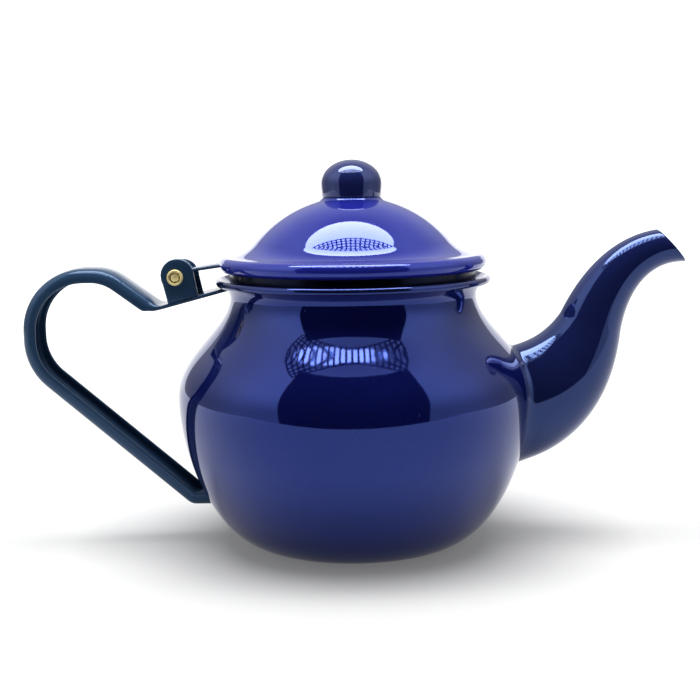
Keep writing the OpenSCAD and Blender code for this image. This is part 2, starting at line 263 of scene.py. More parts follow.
def plate(name, outline, y0, y1, bevel=0.3, holes=(), sharp=40):
    """An upright plate: a side-view outline from y0 to y1, with rounded edges and round holes."""
    bm = bmesh.new()
    loops = [outline] + [arc(c, r, 360, 0, 6)[:-1] for c, r in holes]
    edges = []
    for lp in loops:
        vs = [bm.verts.new((q[0] / 1000, y0 / 1000, q[1] / 1000)) for q in lp]
        edges += [bm.edges.new((vs[i], vs[(i + 1) % len(vs)])) for i in range(len(vs))]
    bmesh.ops.triangle_fill(bm, use_beauty=True, use_dissolve=True, edges=edges)
    faces = list(bm.faces)
    ext = bmesh.ops.extrude_face_region(bm, geom=faces)
    moved = [g for g in ext["geom"] if isinstance(g, bmesh.types.BMVert)]
    bmesh.ops.translate(bm, verts=moved, vec=(0, (y1 - y0) / 1000, 0))
    bmesh.ops.recalc_face_normals(bm, faces=bm.faces)
    rims = [
        e for e in bm.edges
        if len(e.link_faces) == 2 and e.link_faces[0].normal.angle(e.link_faces[1].normal) > 1.2
        and abs(e.verts[0].co.y - e.verts[1].co.y) < 1e-6
    ]
    bmesh.ops.bevel(bm, geom=rims, offset=bevel / 1000, segments=4, profile=0.5, affect="EDGES")
    me = bpy.data.meshes.new(name)
    bm.to_mesh(me)
    bm.free()
    finish_mesh(me, sharp)
    ob = bpy.data.objects.new(name, me)
    bpy.context.scene.collection.objects.link(ob)
    return ob


# ------------------------------------------------------------------ materials


class Nodes:
    """A short way to write a node material."""

    def __init__(self, name):
        self.mat = bpy.data.materials.new(name)
        self.mat.use_nodes = True
        self.tree = self.mat.node_tree
        self.tree.nodes.clear()
        self.out = self.tree.nodes.new("ShaderNodeOutputMaterial")
        self.bsdf = self.tree.nodes.new("ShaderNodeBsdfPrincipled")
        self.tree.links.new(self.bsdf.outputs[0], self.out.inputs[0])
        co = self.tree.nodes.new("ShaderNodeTexCoord")
        self.where = co.outputs["Object"]

    def node(self, kind, **props):
        n = self.tree.nodes.new(kind)
        for k, v in props.items():
            setattr(n, k, v)
        return n

    def link(self, a, b):
        self.tree.links.new(a, b)
        return b

    def noise(self, scale, detail=3.0, rough=0.5, vector=None, distortion=0.0):
        n = self.node("ShaderNodeTexNoise")
        n.inputs["Scale"].default_value = scale
        n.inputs["Detail"].default_value = detail
        n.inputs["Roughness"].default_value = rough
        n.inputs["Distortion"].default_value = distortion
        self.link(vector or self.where, n.inputs["Vector"])
        return n.outputs["Fac"]

    def ramp(self, fac, lo, hi, a=0.0, b=1.0):
        n = self.node("ShaderNodeMapRange")
        n.inputs["From Min"].default_value = lo
        n.inputs["From Max"].default_value = hi
        n.inputs["To Min"].default_value = a
        n.inputs["To Max"].default_value = b
        self.link(fac, n.inputs["Value"])
        return n.outputs["Result"]

    def mix(self, fac, a, b):
        n = self.node("ShaderNodeMix", data_type="RGBA")
        self.link(fac, n.inputs["Factor"])
        for sock, v in ((n.inputs["A"], a), (n.inputs["B"], b)):
            if isinstance(v, tuple):
                sock.default_value = (*v, 1)
            else:
                self.link(v, sock)
        return n.outputs["Result"]

    def math(self, op, a, b=None):
        n = self.node("ShaderNodeMath", operation=op)
        for i, v in enumerate((a, b)):
            if v is None:
                continue
            if isinstance(v, (int, float)):
                n.inputs[i].default_value = v
            else:
                self.link(v, n.inputs[i])
        return n.outputs[0]

    def attribute(self, name):
        return self.node("ShaderNodeAttribute", attribute_name=name).outputs["Fac"]

    def bump(self, height, distance, strength=1.0, normal=None):
        n = self.node("ShaderNodeBump")
        n.inputs["Distance"].default_value = distance
        n.inputs["Strength"].default_value = strength
        self.link(height, n.inputs["Height"])
        if normal is not None:
            self.link(normal, n.inputs["Normal"])
        return n.outputs["Normal"]


def enamel(name, glow, deep, thin, tint, ior=2.1, rough=0.045, coat=0.25):
    """Vitreous enamel: a thick glossy glass coat, a little uneven, darker where it thins at edges.
    The glaze is full of colour, so what it mirrors takes on its tint."""
    m = Nodes(name)
    tone = m.ramp(m.noise(26, 3, 0.55), 0.3, 0.7)
    col = m.mix(tone, deep, glow)
    mottle = m.ramp(m.noise(420, 4, 0.6), 0.35, 0.75, 0.0, 0.22)
    col = m.mix(mottle, col, deep)
    specks = m.node("ShaderNodeTexVoronoi", feature="F1")
    specks.inputs["Scale"].default_value = 210
    m.link(m.where, specks.inputs["Vector"])
    dots = m.ramp(specks.outputs["Distance"], 0.035, 0.075, 1.0, 0.0)
    chosen = m.ramp(m.noise(75, 1), 0.60, 0.64)
    dots = m.math("MULTIPLY", dots, chosen)
    col = m.mix(m.math("MULTIPLY", dots, 0.7), col, (0.004, 0.005, 0.012))
    ragged = m.ramp(m.noise(300, 3), 0.3, 0.7, -0.18, 0.18)
    edge = m.ramp(m.math("ADD", m.attribute("edge"), ragged), 0.45, 1.05)
    col = m.mix(edge, col, thin)
    m.link(col, m.bsdf.inputs["Base Color"])
    m.link(m.ramp(m.noise(90, 4, 0.65), 0.25, 0.8, rough * 0.6, rough * 1.9), m.bsdf.inputs["Roughness"])
    waves = m.bump(m.noise(38, 2, 0.4), 0.00012)
    peel = m.bump(m.noise(520, 2, 0.5), 0.0000045, normal=waves)
    pits = m.bump(m.math("SUBTRACT", 1.0, dots), 0.00003, normal=peel)
    m.link(pits, m.bsdf.inputs["Normal"])
    m.bsdf.inputs["IOR"].default_value = ior
    shade = m.mix(m.ramp(m.noise(17, 2), 0.3, 0.7), tint, tuple(min(1, c * 1.12) for c in tint))
    m.link(shade, m.bsdf.inputs["Specular Tint"])
    m.bsdf.inputs["Coat Weight"].default_value = coat
    m.bsdf.inputs["Coat Roughness"].default_value = 0.02
    m.bsdf.inputs["Coat IOR"].default_value = 1.5
    return m.mat


def metal(name, base, dull, rough, ring_scale, centre=(0.0, 0.0, 0.0), axis="Z", metallic=1.0):
    """Turned or spun metal: fine rings round an axis, smears of dullness, darker where the edge attribute is
    high.
    """
    m = Nodes(name)
    sep = m.node("ShaderNodeSeparateXYZ")
    shift = m.node("ShaderNodeVectorMath", operation="SUBTRACT")
    shift.inputs[1].default_value = centre
    m.link(m.where, shift.inputs[0])
    m.link(shift.outputs[0], sep.inputs[0])
    across = ("X", "Y") if axis == "Z" else ("X", "Z")
    flat = m.node("ShaderNodeCombineXYZ")
    m.link(sep.outputs[across[0]], flat.inputs[0])
    m.link(sep.outputs[across[1]], flat.inputs[1])
    length = m.node("ShaderNodeVectorMath", operation="LENGTH")
    m.link(flat.outputs[0], length.inputs[0])
    line = m.node("ShaderNodeCombineXYZ")
    m.link(length.outputs["Value"], line.inputs[0])
    m.link(sep.outputs[axis], line.inputs[1])
    rings = m.noise(ring_scale, 2, 0.6, vector=line.outputs[0])
    smear = m.ramp(m.noise(120, 4, 0.6), 0.35, 0.7)
    col = m.mix(smear, base, dull)
    col = m.mix(m.ramp(rings, 0.35, 0.75, 0.0, 0.3), col, dull)
    # darker where the edge attribute is high, which on the rivet is its groove
    groove_darkening = m.ramp(m.attribute("edge"), 0.3, 1.0, 0.0, 0.75)
    col = m.mix(groove_darkening, col, tuple(c * 0.35 for c in dull))
    m.link(col, m.bsdf.inputs["Base Color"])
    m.bsdf.inputs["Metallic"].default_value = metallic
    m.link(m.ramp(smear, 0, 1, rough, rough * 1.6), m.bsdf.inputs["Roughness"])
    fine = m.bump(rings, 0.00001)
    m.link(m.bump(m.noise(60, 2), 0.00006, normal=fine), m.bsdf.inputs["Normal"])
    return m.mat


blue = enamel("cobalt_enamel", (0.0035, 0.0055, 0.070), (0.0025, 0.004, 0.050), (0.004, 0.006, 0.020),
              (0.10, 0.20, 1.0), 2.08, coat=0.2)
# painted light: the spout is the pot's own cobalt enamel, given a lighter base colour to stand in for how
# light falls on it
spout_painted_light_blue = enamel("spout_enamel_painted_light", (0.009, 0.014, 0.080), (0.007, 0.011, 0.060), (0.005, 0.008, 0.020),
                    (0.16, 0.32, 1.0), 1.8)
# painted light: the lid is the pot's own cobalt enamel, given a much brighter blue base colour to stand in
# for the light its top catches from above
lid_painted_light_blue = enamel("lid_enamel_painted_light", (0.015, 0.021, 0.27), (0.011, 0.015, 0.21), (0.004, 0.006, 0.060),
                  (0.10, 0.20, 1.0), 1.9, coat=0.4)
# painted light: a lighter, greener copy of the enamel with less gloss, for handle and hinge, standing in for
# the light they take from the bright surround
navy_painted_light = enamel("navy_enamel", (0.025, 0.058, 0.120), (0.018, 0.046, 0.095), (0.010, 0.024, 0.050),
              (0.35, 0.55, 1.0), 1.45, 0.14, 0.05)
# painted light: the knob is the body's enamel, given a brighter blue base colour to stand in for the light on
# its sides and top
knob_painted_light_blue = enamel("knob_enamel_painted_light", (0.014, 0.020, 0.110), (0.011, 0.016, 0.085), (0.006, 0.010, 0.030),
                   (0.25, 0.38, 1.0), 1.7, coat=0.4)
# painted shade: the lid's collar gets a near-black, dull enamel so the gap under the brim stays dark
collar_painted_shade = enamel("dark_enamel", (0.003, 0.004, 0.012), (0.002, 0.003, 0.008), (0.002, 0.003, 0.006),
              (0.3, 0.4, 1.0), 1.35, 0.2, 0.0)
brass = metal("worn_brass", (0.95, 0.84, 0.42), (0.90, 0.74, 0.34), 0.34, 2600, tuple(PIN / 1000), "Y", 0.4)
alu = metal("spun_aluminium", (0.80, 0.81, 0.82), (0.62, 0.63, 0.64), 0.26, 1500)


def dress(ob, mat, body, slot, *nodes):
    """Give a piece its material and body, and hide the CAD nodes that it stands in for. The slot is not used.
    """
    ob.data.materials.clear()
    ob.data.materials.append(mat)
    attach(ob, body)
    if nodes:
        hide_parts(*nodes)
    return ob


# ------------------------------------------------------------------ pot shell


def belly_radius(z):
    """Outside radius of the pot at height z; works on arrays."""
    z = np.asarray(z, float)
    low = np.clip(z, 0, BELLY_Z) / BELLY_Z
    c = np.power(1 - low, BELLY_POW / 2)
    r_low = BASE_R + (BELLY_R - BASE_R) * np.power(np.clip(1 - c * c, 0, 1), 1 / BELLY_POW)
    s = np.clip((z - BELLY_Z) / (NECK_Z - BELLY_Z), 0, 1)
    r_mid = NECK_R + (BELLY_R - NECK_R) * (1 + np.cos(np.pi * np.power(s, SHOULDER_POW))) / 2
    u = np.clip((z - NECK_Z) / (FLARE_TOP - NECK_Z), 0, 1)
    r_top = NECK_R + (FLARE_R - NECK_R) * np.power(u, 1.8)
    return np.where(z < BELLY_Z, r_low, np.where(z < NECK_Z, r_mid, r_top))


def pot_profile():
    """Outside of the pot, from the middle of the bottom up to the flare."""
    out = [pt(r, 0) for r in np.linspace(0, BASE_R - 0.6, 24)]
    for t in np.radians(np.linspace(0.8, 90, 90)):
        out.append(pt(BASE_R + (BELLY_R - BASE_R) * math.sin(t) ** (2 / BELLY_POW),
                      BELLY_Z * (1 - math.cos(t) ** (2 / BELLY_POW))))
    for z in np.linspace(BELLY_Z, NECK_Z, 70)[1:]:
        out.append(pt(float(belly_radius(z)), z))
    for z in np.linspace(NECK_Z, FLARE_TOP, 16)[1:]:
        out.append(pt(float(belly_radius(z)), z))
    return out


def make_shell():
    outer = pot_profile()
    inner = stepped(outer, WALL)
    inner = [q for q in inner if q[1] < RIM_Z + 0.2]
    for q in inner:
        q[0] = max(q[0], 0)
    inner[0][0] = 0
    cut = [q for q in outer if np.linalg.norm(q - pt(RIM_R, RIM_Z)) > BEAD + 0.02]
    start = math.degrees(math.atan2(cut[-1][1] - RIM_Z, cut[-1][0] - RIM_R)) % 360
    bead = arc((RIM_R, RIM_Z), BEAD, start + 6, 360 + 140, 6)
    up = [q for q in inner if np.linalg.norm(q - pt(RIM_R, RIM_Z)) > BEAD + 0.25]
    outline = cut + bead + up[::-1]
    e = [0.0] * len(cut) + [0.85] * len(bead) + [0.0] * len(up)
    return lathe("pot_body", outline, 256, e, closed=False, sharp=60)


body = make_shell()

# strainer holes, pressed through the wall behind the spout
HOLE_R, HOLE_PITCH, HOLE_SIDE_PITCH = 1.6, 5.6, 4.48
HOLES_X, HOLES_Z = 55.0, 46.0
holes = bmesh.new()
for row in range(-2, 3):
    for i in range(5 - abs(row)):
        y = (i - (4 - abs(row)) / 2) * HOLE_SIDE_PITCH
        z = HOLES_Z + row * HOLE_PITCH
        place = Matrix.Translation((HOLES_X / 1000, y / 1000, z / 1000))
        bmesh.ops.create_cone(holes, cap_ends=True, segments=24, radius1=HOLE_R / 1000, radius2=HOLE_R / 1000,
                              depth=0.03, matrix=place @ Matrix.Rotation(math.pi / 2, 4, "Y"))
me = bpy.data.meshes.new("hole_tool")
holes.to_mesh(me)
holes.free()
tool = bpy.data.objects.new("hole_tool", me)
bpy.context.scene.collection.objects.link(tool)
cut = body.modifiers.new("strainer", "BOOLEAN")
cut.operation = "DIFFERENCE"
cut.solver = "EXACT"
cut.object = tool
dg = bpy.context.evaluated_depsgraph_get()
cut_mesh = bpy.data.meshes.new_from_object(body.evaluated_get(dg))
body.modifiers.clear()
body.data = cut_mesh
bpy.data.objects.remove(tool)
for p in body.data.polygons:
    p.use_smooth = True
body.data.set_sharp_from_angle(angle=math.radians(50))
dress(body, blue, "pot", "blue_enamel", "pot_shell")

# ------------------------------------------------------------------ spout

ROOT_CURVE = np.array([[48, 44.5], [64.8, 47.25], [76.65, 57.4], [82.45, 74.65]], float)
MOUTH_CURVE = np.array([[82.45, 74.65], [86.2, 85.8], [94.35, 100.1], [111.3, 101.2]], float)
ROOT_SIZE = np.array([19.7, 21.9, 15.5, 11.0])
MOUTH_SIZE = np.array([11.0, 9.1, 7.3, 5.7])
MOUTH_AT = np.array([109.9, 100.9])
MOUTH_TILT = math.radians(41.6)
SPOUT_OVAL = 0.68
SPOUT_WALL = 1.0
WELD_FILLET = 1.8
LIP_DROP = 0.35
SEAM_RISE, SEAM_SPREAD = 0.16, 0.10


def bez(p, t):
    t = np.asarray(t)[..., None] if p.ndim == 2 else np.asarray(t)
    return p[0] * (1 - t) ** 3 + p[1] * 3 * t * (1 - t) ** 2 + p[2] * 3 * t * t * (1 - t) + p[3] * t ** 3


def bez_dir(p, t):
    t = np.asarray(t)[..., None]
    d = (p[1] - p[0]) * (1 - t) ** 2 + (p[2] - p[1]) * 2 * t * (1 - t) + (p[3] - p[2]) * t * t
    return d / np.linalg.norm(d, axis=-1, keepdims=True)


def skin(t, a, e):
    """Points of the spout's skin at t along it and angle a (radians) from its top, pushed out by e."""
    t = np.asarray(t, float)
    low = t < 1
    mid = np.where(low[..., None], bez(ROOT_CURVE, t), bez(MOUTH_CURVE, t - 1))
    way = np.where(low[..., None], bez_dir(ROOT_CURVE, t), bez_dir(MOUTH_CURVE, t - 1))
    h = np.where(low, bez(ROOT_SIZE, t), bez(MOUTH_SIZE, t - 1))
    ratio = SPOUT_OVAL + (1 - SPOUT_OVAL) * (np.minimum(t, 2) / 2) ** 0.8
    n = np.stack([-way[..., 1], way[..., 0]], -1)
    q = mid + n * ((h + e) * np.cos(a))[..., None]
    return np.stack([q[..., 0], (h * ratio + e) * np.sin(a), q[..., 1]], -1)


def solve(test, lo, hi, n=30):
    for _ in range(n):
        m = (lo + hi) / 2
        ok = test(m) > 0
        hi = np.where(ok, m, hi)
        lo = np.where(ok, lo, m)
    return (lo + hi) / 2


def make_spout(rings=110, around=72):
    a = 2 * np.pi * np.arange(around) / around
    g = np.concatenate([np.linspace(0, 0.06, 14)[:-1], np.linspace(0.06, 1, rings - 13)])

    def extra(side):
        fil = WELD_FILLET * np.clip(1 - g / 0.05, 0, 1) ** 2.4
        snug = 0.3 + 0.7 * (1 + np.cos(a)) / 2
        lip = LIP_DROP * np.clip((g - 0.88) / 0.12, 0, 1) ** 2
        from_top, from_below = np.minimum(a, 2 * np.pi - a), a - np.pi
        seam = SEAM_RISE * (np.exp(-(from_top / SEAM_SPREAD) ** 2) + np.exp(-(from_below / SEAM_SPREAD) ** 2))
        down = (1 - np.cos(a)) / 2
        e = lip[:, None] * down[None, :]
        if side == "out":
            seam_on = np.clip((g[:, None] - 0.03) / 0.1, 0, 1)
            return e + fil[:, None] * snug[None, :] + seam[None, :] * seam_on
        return e - SPOUT_WALL

    def rows(side):
        e = extra(side)
        first, last = e[0], e[-1]
        t0 = solve(lambda t: np.hypot(skin(t, a, first)[:, 0], skin(t, a, first)[:, 1])
                   - belly_radius(skin(t, a, first)[:, 2]) + 0.06, np.zeros(around), np.full(around, 1.4))
        t1 = solve(lambda t: (skin(t, a, last)[:, 0] - MOUTH_AT[0]) * math.cos(MOUTH_TILT)
                   + (skin(t, a, last)[:, 2] - MOUTH_AT[1]) * math.sin(MOUTH_TILT),
                   np.full(around, 1.5), np.full(around, 2.3))
        t = t0[None, :] + (t1 - t0)[None, :] * g[:, None]
        return skin(t, a[None, :], e)

    out, inn = rows("out"), rows("in")
    # round lip between the two skins at the mouth
    lip = []
    d = (out[-1] - out[-2])
    d /= np.linalg.norm(d, axis=1)[:, None]
    for k in range(1, 8):
        f = math.pi * k / 8
        m, r = (out[-1] + inn[-1]) / 2, (out[-1] - inn[-1]) / 2
        half = np.linalg.norm(r, axis=1)[:, None]
        lip.append(m + r * math.cos(f) + d * half * math.sin(f))
    all_rows = np.concatenate([out, np.array(lip), inn[::-1]])
    n = len(all_rows)
    idx = np.arange(n)
    edge = np.clip(1 - np.abs(idx - (len(out) + 3)) / 7.0, 0, 1) * 0.85
    e = np.repeat(edge[:, None], around, axis=1)
    return grid("spout", all_rows, wrap_u=True, wrap_v=True, edge=e, sharp=60)


spout = make_spout()
dress(spout, spout_painted_light_blue, "pot", "blue_enamel", "spout_half_near", "spout_half_far")

# ------------------------------------------------------------------ handle


CORNER_R = 2.9
CROWN = 0.6
CHANNEL_FROM_X, CHANNEL_RAMP = -65.6, 5.0


def strap_section(k):
    """Closed section of the handle strip: flat at k = 0, a U channel at k = 1. (y, depth)."""
    w, t, d = HANDLE_W / 2, HANDLE_T, HANDLE_DEPTH
    ro = CORNER_R

    def side(depth, corner_r):
        pts = []
        pts += [pt(w, depth - t / 2 - (depth - t / 2 - corner_r) * i / 5) for i in range(5)]
        pts += arc((w - corner_r, corner_r), corner_r, 0, -90, 15)
        return pts

    def inner(depth, corner_r, ti):
        r = max(corner_r - ti, 0.25)
        pts = []
        pts += [pt(w - ti, depth - t / 2 - (depth - t / 2 - max(t, t + r)) * i / 5) for i in range(5)]
        pts += arc((w - ti - r, t + r), r, 0, -90, 15)
        return pts

    u_out = side(d, ro)
    u_in = inner(d, ro, t)
    u_tip = [pt(w - t / 2 + t / 2 * math.cos(a), d - t / 2 + t / 2 * math.sin(a))
             for a in np.radians(range(22, 180, 22))]
    f_out = [pt(w - 0.18 * (i / 4) ** 2, 0.65 - 0.25 * i / 4) for i in range(5)]
    f_out += arc((w - 0.6, 0.6), 0.6, -25, -90, 65 / 6.0)[: len(u_out) - 5]
    while len(f_out) < len(u_out):
        f_out.append(f_out[-1] - pt(0.05, 0))
    f_in = [pt(w - 0.62 - 0.28 * i, t) for i in range(len(u_in))]
    f_tip = [pt(w - 0.62 + 0.62 * math.cos(a), 0.68 + 0.62 * math.sin(a))
             for a in np.radians(range(10, 90, 10))][: len(u_tip)]

    def blend_pts(f, u):
        return [a + (b - a) * k for a, b in zip(f, u)]

    right = blend_pts(f_out, u_out)
    rin = blend_pts(f_in, u_in)
    tip = blend_pts(f_tip, u_tip)
    y0 = right[-1][0]
    web_out = [pt(y0 - 2 * y0 * i / 8, right[-1][1]) for i in range(1, 8)]
    left = [pt(-q[0], q[1]) for q in right[::-1]]
    ltip = [pt(-q[0], q[1]) for q in tip]
    lin = [pt(-q[0], q[1]) for q in rin]
    y1 = rin[-1][0]
    web_in = [pt(-y1 + 2 * y1 * i / 8, rin[-1][1]) for i in range(1, 8)]
    ring = right + web_out + left + ltip + lin + web_in + rin[::-1] + tip[::-1]
    # the web is a little crowned: its middle stands proud of its edges
    crown = CROWN * k
    return [pt(q[0], q[1] - crown + crown * (q[0] / w) ** 2) for q in ring]


def make_handle():
    path = spaced(rounded([
        [-40, 90.4, 0], [-67, 83.4, 3.2], [-84.1, 96.1, 17], [ARCH_LEFT, 96.1, 21],
        [ARCH_LEFT, 62.5, 21], [-57.5, FOOT_Z, 4.5], [-44, FOOT_Z, 0]], 3), 0.9)
    tan = tangents(path)
    run = np.concatenate([[0], np.cumsum(np.linalg.norm(np.diff(np.array(path), axis=0), axis=1))])
    # the strip turns from flat to channel where it has just left the hinge
    off = [abs(q[0] - CHANNEL_FROM_X) if 70 <= q[1] <= 90 else 999 for q in path]
    bend = run[int(np.argmin(off))]
    rows, edge = [], []
    for q, t, s in zip(path, tan, run):
        k = min(max((s - bend) / CHANNEL_RAMP, 0), 1)
        k = k * k * (3 - 2 * k)
        n = left_of(t)
        sec = strap_section(k)
        rows.append([[q[0] + n[0] * c[1], c[0], q[1] + n[1] * c[1]] for c in sec])
        tipness = [1.0 if (c[1] > HANDLE_DEPTH - 0.3 and abs(c[0]) > HANDLE_W / 2 - HANDLE_T - 0.1) or
                   (k < 0.2 and abs(c[0]) > HANDLE_W / 2 - 0.7) else 0.0 for c in sec]
        edge.append([0.62 * v for v in tipness])
    rows = np.array(rows)
    # both ends stop just inside the pot's wall
    for part in (rows[: len(rows) // 2], rows[len(rows) // 2:]):
        r = belly_radius(part[:, :, 2]) - 0.45
        lim = -np.sqrt(np.maximum(r * r - part[:, :, 1] ** 2, 0))
        part[:, :, 0] = np.minimum(part[:, :, 0], lim)
    return grid("handle", rows, wrap_v=True, cap_u=True, edge=np.array(edge), sharp=40)


handle = make_handle()
dress(handle, navy_painted_light, "pot", "blue_enamel", "handle_strap")

# ------------------------------------------------------------------ hinge

EAR_MID, EAR_R = pt(-59.8, 93.9), 5.7
EAR_FRONT, EAR_BACK = -52.8, -63.2
FAR_EAR_DROP = 1.0


def strap_top(x):
    """Height of the strip's top where it climbs to the neck."""
    return 90.15 + (x + 41) * 6.75 / 26


def lowered(q):
    """A point of the far ear, whose top is a little lower than the near one's."""
    return q - pt(0, FAR_EAR_DROP * min(1, max(0, (q[1] - 88) / 5)))


near_ear = ([pt(EAR_FRONT, strap_top(EAR_FRONT) - 0.2), pt(-54.1, EAR_MID[1])]
            + arc(EAR_MID, EAR_R, 1, 179, 5)
            + [pt(-65.5, EAR_MID[1] - 0.1), pt(EAR_BACK, strap_top(EAR_BACK) - 0.2)])
pin_hole = (pt(PIN_X, PIN_Z), 2.2)
ear = plate("hinge_ear_near", near_ear, -HANDLE_W / 2, -HANDLE_W / 2 + EAR_T, 0.5, [pin_hole])
dress(ear, navy_painted_light, "pot", "blue_enamel", "hinge_bracket")
far_ear = [lowered(q) for q in near_ear]
ear = plate("hinge_ear_far", far_ear, HANDLE_W / 2 - EAR_T, HANDLE_W / 2, 0.5, [pin_hole])
dress(ear, navy_painted_light, "pot", "blue_enamel")
floor_plate = plate("hinge_floor", [pt(-63.5, 86.75), pt(-54.1, 86.75), pt(-53.4, 88.05), pt(-63.4, 88.05)],
                    -HANDLE_W / 2 + EAR_T - 0.02, HANDLE_W / 2 - EAR_T + 0.02, 0.1)
dress(floor_plate, navy_painted_light, "pot", "blue_enamel")

# tubular rivet: rolled head with a groove and a closed middle, the same at both ends
e1 = RIVET_END
head = ([pt(1.53 * math.sin(a), e1 - 0.75 + 0.62 * math.cos(a)) for a in np.radians(range(0, 91, 6))]
        + arc((1.72, e1 - 0.78), 0.17, 180, 350, 15)
        + arc((HEAD_R - 0.44, e1 - 0.44), 0.44, 175, 0, 8) + [pt(HEAD_R, e1 - 0.95)]
        + [pt(2.2, e1 - 1.0), pt(2.2, 4), pt(2.2, 0)])
half_edge = [1.0 if 1.5 < q[0] < 1.92 and q[1] < e1 - 0.5 else 0.0 for q in head]
outline = head + [pt(q[0], -q[1]) for q in head[-2::-1]]
rivet = lathe("hinge_rivet_tube", outline, 64, half_edge + half_edge[-2::-1], closed=False, sharp=60)
at_pin = Matrix.Translation((PIN_X / 1000, 0, PIN_Z / 1000))
rivet.data.transform(at_pin @ Matrix.Rotation(math.pi / 2, 4, "X"))
dress(rivet, brass, "pot", "rivet_brass", "hinge_rivet")


def strip_rows(path, half_w, t):
    """Rounded flat strip along a side-view path."""
    tan = tangents(path)
    rows = []
    for q, tg in zip(path, tan):
        n = left_of(tg)
        sec = []
        for cy, s in ((half_w - t / 2, 1), (-half_w + t / 2, -1)):
            for a in np.radians(np.linspace(-90, 90, 9)):
                d, y = (math.sin(a), cy + s * t / 2 * math.cos(a))
                sec.append((y, t / 2 + s * t / 2 * d))
        rows.append([[q[0] + n[0] * c[1], c[0], q[1] + n[1] * c[1]] for c in sec])
    return np.array(rows)


LEAF_W, KNUCKLE_W = 12.0, 13.6
leaf_path = spaced(rounded([[-45.3, 97.38, 0], [-55.88, 95.96, 0.8], [-56.21, 96.42, 0]], 6)[:-1]
                   + arc((PIN_X, PIN_Z), HOOD_R, 36, 134, 4), 0.5)
rows = strip_rows(leaf_path, LEAF_W / 2, LEAF_T)
wide = np.clip((np.array([-q[0] for q in leaf_path]) - 54.0) / 3.0, 0, 1)
rows[:, :, 1] *= (1 + (KNUCKLE_W / LEAF_W - 1) * wide * wide * (3 - 2 * wide))[:, None]
leaf = grid("hinge_leaf_strip", rows, wrap_v=True, cap_u=True, edge=np.zeros(rows.shape[:2]), sharp=40)
dress(leaf, navy_painted_light, "lid", "navy_enamel", "hinge_leaf")
side = KNUCKLE_W / 2
for tag, y0, y1 in (("near", -side, -side + LEAF_T), ("far", side - LEAF_T, side)):
    cheek = plate("hinge_cheek_" + tag, arc((PIN_X, PIN_Z), HOOD_R - 0.15, 0, 360, 6)[:-1], y0, y1, 0.2,
                  [(pt(PIN_X, PIN_Z), 2.25)])
    dress(cheek, navy_painted_light, "lid", "navy_enamel")

# ------------------------------------------------------------------ lid


def dome_pt(a):
    a = math.radians(a)
    return pt(DOME_R * math.sin(a), DOME_CZ + DOME_R * math.cos(a))


def crossing(a, ra, b, rb):
    """Where two circles cross, left of the line from one centre to the other."""
    d = float(np.linalg.norm(b - a))
    x = (ra * ra - rb * rb + d * d) / (2 * d)
    u = (b - a) / d
    return a + u * x + left_of(u) * math.sqrt(ra * ra - x * x)


def lid_profile():
    """Top side of the lid: boss, dome, hollow flare and the roll of the brim."""
    roll = pt(BRIM_R - ROLL_R, BRIM_TOP - ROLL_R)
    hollow = crossing(pt(0, DOME_CZ), DOME_R + HOLLOW_R, roll, ROLL_R + HOLLOW_R)
    dome_edge = math.degrees(math.atan2(hollow[0], hollow[1] - DOME_CZ))
    to_roll = math.degrees(math.atan2(roll[1] - hollow[1], roll[0] - hollow[0])) + 360
    p = [pt(0, BOSS_Z), pt(8, BOSS_Z)]
    p += corner(pt(0, BOSS_Z), pt(10.2, BOSS_Z), pt(10.7, 118.5), 0.3, 15)
    p += corner(pt(10.2, BOSS_Z), pt(10.7, 118.5), dome_pt(18), 2.2, 4)
    p += [dome_pt(18 + (dome_edge - 18) * i / 50) for i in range(51)]
    p += arc(hollow, HOLLOW_R, 270 - dome_edge, to_roll, 2)[1:]
    p += arc(roll, ROLL_R, to_roll - 180, -70, 5)[1:]
    return spaced(p, 0.9)


def mirrored_sheet(path, t):
    """Like sheet(), with the thickness on the right of the path, and open where it meets the axis."""
    flip = [pt(q[0], -q[1]) for q in path]
    out, val = sheet(flip, t, cap_start=False)
    return [pt(q[0], -q[1]) for q in out], val


outline, edge = mirrored_sheet(lid_profile(), LID_T)
lid = lathe("lid_dome", outline, 256, [0.6 * v for v in edge], closed=False, sharp=60)
dress(lid, lid_painted_light_blue, "lid", "lid_enamel", "lid_shell")

collar_path = spaced(rounded([
    [42.4, 98.35, 0], [42.4, 89.5, 1.2], [41, 87.4, 1.2], [40.7, float(collar_lo[2]) + 0.4, 0]], 8), 0.8)
outline, edge = mirrored_sheet(collar_path, 0.9)
collar = lathe("lid_neck_collar", outline, 224, [0.5 * v for v in edge], closed=True, sharp=60)
# the collar wears the near-black painted-shade enamel
dress(collar, collar_painted_shade, "lid", "dark_enamel", "lid_collar")


def knob_side(d):
    """Half outline of the knob, d inside its skin: a flaring stem, then a dome."""
    rise, top_h = KNOB_MID - BOSS_Z, KNOB_TOP - d - KNOB_MID
    stem = [(math.pi / 2 * i / 14, i / 14) for i in range(15)]
    dome = [math.pi / 2 * i / 40 for i in range(1, 41)]
    return ([pt(SEAT_R - d + (KNOB_R - SEAT_R) * math.sin(a), BOSS_Z + rise * f) for a, f in stem]
            + [pt((KNOB_R - d) * math.cos(a), KNOB_MID + top_h * math.sin(a)) for a in dome])


outer, inner = knob_side(0), knob_side(KNOB_T)
foot = [pt(SEAT_R - KNOB_T / 2 + 0.52 * math.cos(a), BOSS_Z + 0.35 + 0.45 * math.sin(a))
        for a in np.radians(range(-150, -20, 20))]
outline = inner[::-1][:-2] + foot + outer[2:]
knob = lathe("lid_knob_shell", outline, 160, [0.0] * len(outline), closed=False, sharp=60)
dress(knob, knob_painted_light_blue, "lid", "navy_enamel", "lid_knob")

# ------------------------------------------------------------------ percolator insert

for n in ("pump_tube", "pump_bell", "tube_stop_ring", "basket_cup", "basket_guide_tube", "basket_spreader"):
    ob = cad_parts[n]
    ob.data.materials.clear()
    ob.data.materials.append(alu)

# ------------------------------------------------------------------ stage, light, camera


